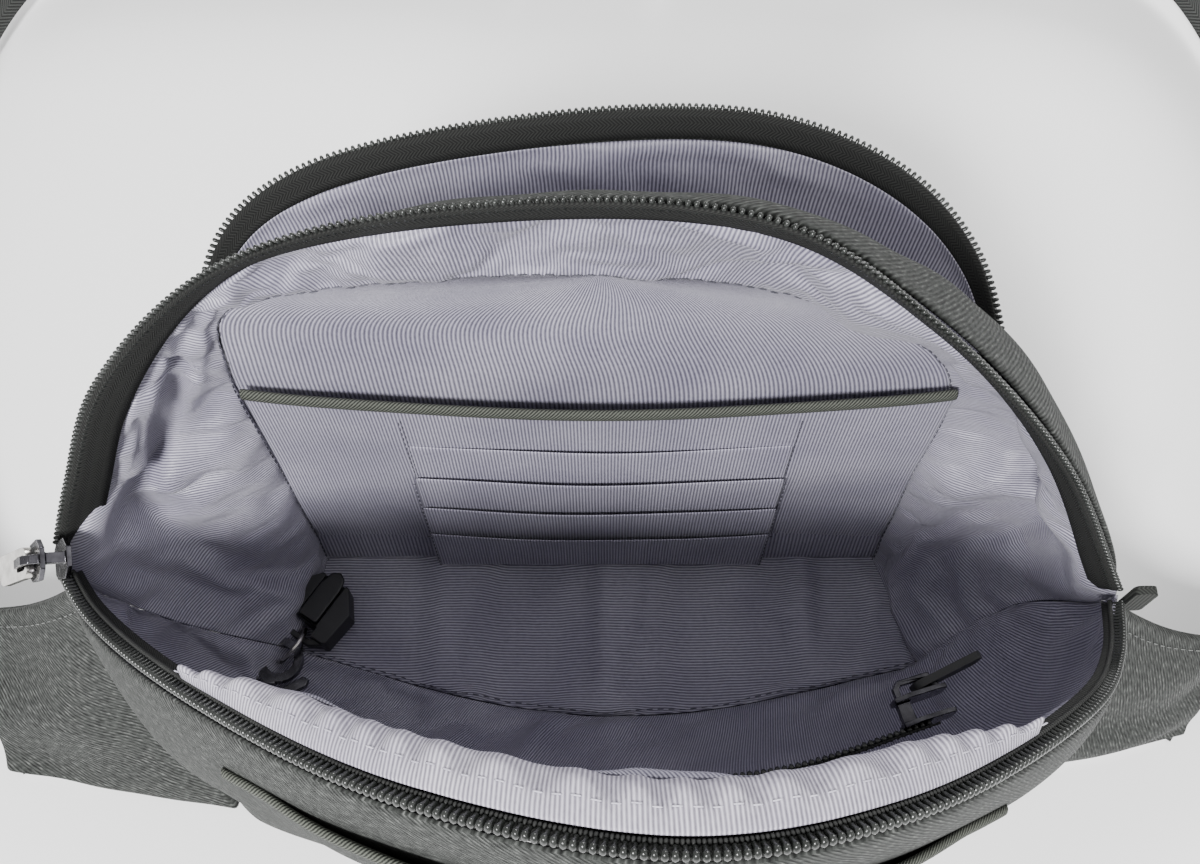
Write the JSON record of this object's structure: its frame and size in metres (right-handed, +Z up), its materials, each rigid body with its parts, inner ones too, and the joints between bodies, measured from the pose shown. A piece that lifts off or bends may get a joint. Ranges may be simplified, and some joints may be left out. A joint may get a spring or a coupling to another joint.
{
  "type": "money belt",
  "caption": "Hip-worn travel money belt standing open, with a lined main compartment, zipped rear pocket, card slots, key holder and buckled waist strap.",
  "frame": {"origin": "underside of the base, on the centre line below the foot of the partition wall", "axes": "+Z up, +Y towards the wearer, +X to the right of someone who looks in over the front panel"},
  "size_m": [0.4401, 0.352, 0.1814],
  "materials": {
    "face_fabric": "heather polyester, two-tone twill",
    "lining_cloth": "nylon twill, slight sheen",
    "zip_tape": "woven herringbone tape",
    "zip_coil": "nylon coil",
    "binding_tape": "woven binding",
    "belt_webbing": "polyester webbing",
    "moulded_plastic": "fine texture",
    "nickel": "polished",
    "black_nickel": "polished"
  },
  "bodies": {
    "pack": {"base_panel": "face_fabric", "floor_lining": "lining_cloth", "partition_panel": "lining_cloth", "slip_pocket": "lining_cloth", "pocket_binding": "binding_tape", "card_sleeve_1": "lining_cloth", "card_sleeve_2": "lining_cloth", "card_sleeve_3": "lining_cloth", "card_sleeve_4": "lining_cloth", "gusset_lining": "lining_cloth", "gusset_panel": "face_fabric", "main_zip_rear_coil": "zip_coil", "main_zip_rear_tape": "zip_tape", "main_zip_left_coil_end": "zip_coil", "main_zip_right_coil_end": "zip_coil", "front_corner_left": "face_fabric", "front_corner_right": "face_fabric", "rear_zip_front_coil": "zip_coil", "rear_corner_left": "face_fabric", "rear_corner_right": "face_fabric", "wing_left": "face_fabric", "wing_right": "face_fabric", "belt_left": "belt_webbing", "belt_right": "belt_webbing", "buckle_female": "moulded_plastic", "zip_end_tab": "zip_tape"},
    "front": {"front_panel": "face_fabric", "front_lining": "lining_cloth", "facing_band": "lining_cloth", "main_zip_front_coil": "zip_coil", "main_zip_front_tape": "zip_tape", "front_pocket": "face_fabric", "front_pocket_binding": "binding_tape", "inner_zip_coil": "zip_coil"},
    "rear": {"rear_panel": "face_fabric", "rear_lining": "lining_cloth", "rear_zip_back_coil": "zip_coil"},
    "main_zip_slider": {"main_slider": "black_nickel"},
    "main_zip_pull": {"main_pull": "nickel"},
    "rear_zip_slider": {"rear_slider": "black_nickel"},
    "rear_zip_pull": {"rear_pull": "nickel"},
    "inner_zip_slider": {"inner_slider": "black_nickel"},
    "inner_zip_pull": {"inner_pull": "moulded_plastic"},
    "strap": {"key_strap": "belt_webbing", "key_swivel": "black_nickel"},
    "clip": {"key_clip": "black_nickel"},
    "lever": {"clip_lever": "black_nickel"},
    "ring": {"key_ring": "nickel"},
    "light": {"key_light": "moulded_plastic"},
    "tongue": {"light_tongue": "moulded_plastic"},
    "buckle_plug": {"buckle_male": "moulded_plastic", "belt_loop": "belt_webbing", "belt_adjuster": "moulded_plastic"},
    "prong_upper": {"buckle_prong_upper": "moulded_plastic"},
    "prong_lower": {"buckle_prong_lower": "moulded_plastic"}
  },
  "joints": [
    {"name": "front_fold", "type": "hinge", "parent": "pack", "child": "front", "pos_m": [0, -0.056, 0.003], "axis": [1, 0, 0], "range_deg": [-20, 5]},
    {"name": "rear_fold", "type": "hinge", "parent": "pack", "child": "rear", "pos_m": [0, 0.014, 0.005], "axis": [1, 0, 0], "range_deg": [-18, 15]},
    {"name": "main_zip_run", "type": "slide", "parent": "pack", "child": "main_zip_slider", "axis": [0.5507, -0.1502, 0.8211], "range_m": [0, 0.006]},
    {"name": "main_pull_swing", "type": "hinge", "parent": "main_zip_slider", "child": "main_zip_pull", "pos_m": [-0.1262, -0.03118, 0.08827], "axis": [-0.1388, 0.9535, 0.2675], "range_deg": [-6, 100]},
    {"name": "rear_zip_run", "type": "slide", "parent": "pack", "child": "rear_zip_slider", "axis": [0.2296, 0.3494, 0.9084], "range_m": [0, 0.006]},
    {"name": "rear_pull_swing", "type": "hinge", "parent": "rear_zip_slider", "child": "rear_zip_pull", "pos_m": [-0.10738, 0.01546, 0.07093], "axis": [0.0215, 0.9313, -0.3636], "range_deg": [-6, 100]},
    {"name": "inner_zip_run", "type": "slide", "parent": "front", "child": "inner_zip_slider", "axis": [-0.954, -0.2997, 0], "range_m": [0, 0.024]},
    {"name": "inner_pull_swing", "type": "hinge", "parent": "inner_zip_slider", "child": "inner_zip_pull", "pos_m": [0.06865, -0.05731, 0.08], "axis": [0, 0, 1], "range_deg": [-6, 100]},
    {"name": "key_strap_lift", "type": "hinge", "parent": "pack", "child": "strap", "pos_m": [-0.10087, -0.04276, 0.01], "axis": [0.6361, -0.7716, 0], "range_deg": [0, 35]},
    {"name": "clip_swivel", "type": "hinge", "parent": "strap", "child": "clip", "pos_m": [-0.09354, -0.03672, 0.01], "axis": [0.7716, 0.6361, 0], "range_deg": [-8, 8]},
    {"name": "clip_lever_press", "type": "hinge", "parent": "clip", "child": "lever", "pos_m": [-0.08591, -0.04079, 0.01], "axis": [0, 0, 1], "range_deg": [-12, 0], "stiffness_Nm_per_rad": 0.02},
    {"name": "ring_swing", "type": "hinge", "parent": "clip", "child": "ring", "pos_m": [-0.08799, -0.03214, 0.01], "axis": [0, 0, 1], "range_deg": [-6, 6]},
    {"name": "light_swing", "type": "hinge", "parent": "ring", "child": "light", "pos_m": [-0.08227, -0.02333, 0.01], "axis": [0, 0, 1], "range_deg": [-6, 6]},
    {"name": "light_press", "type": "hinge", "parent": "light", "child": "tongue", "pos_m": [-0.08091, -0.02124, 0.0139], "axis": [-0.8387, 0.5446, 0], "range_deg": [0, 4], "stiffness_Nm_per_rad": 0.03},
    {"name": "buckle_release", "type": "slide", "parent": "pack", "child": "buckle_plug", "axis": [1, 0, 0], "range_m": [0, 0.026]},
    {"name": "prong_upper_squeeze", "type": "hinge", "parent": "buckle_plug", "child": "prong_upper", "pos_m": [0.0156, 0.24, 0.0379], "axis": [0, -1, 0], "range_deg": [0, 7], "stiffness_Nm_per_rad": 0.12},
    {"name": "prong_lower_squeeze", "type": "hinge", "parent": "buckle_plug", "child": "prong_lower", "pos_m": [0.0156, 0.24, 0.0129], "axis": [0, 1, 0], "range_deg": [0, 7], "stiffness_Nm_per_rad": 0.12}
  ]
}
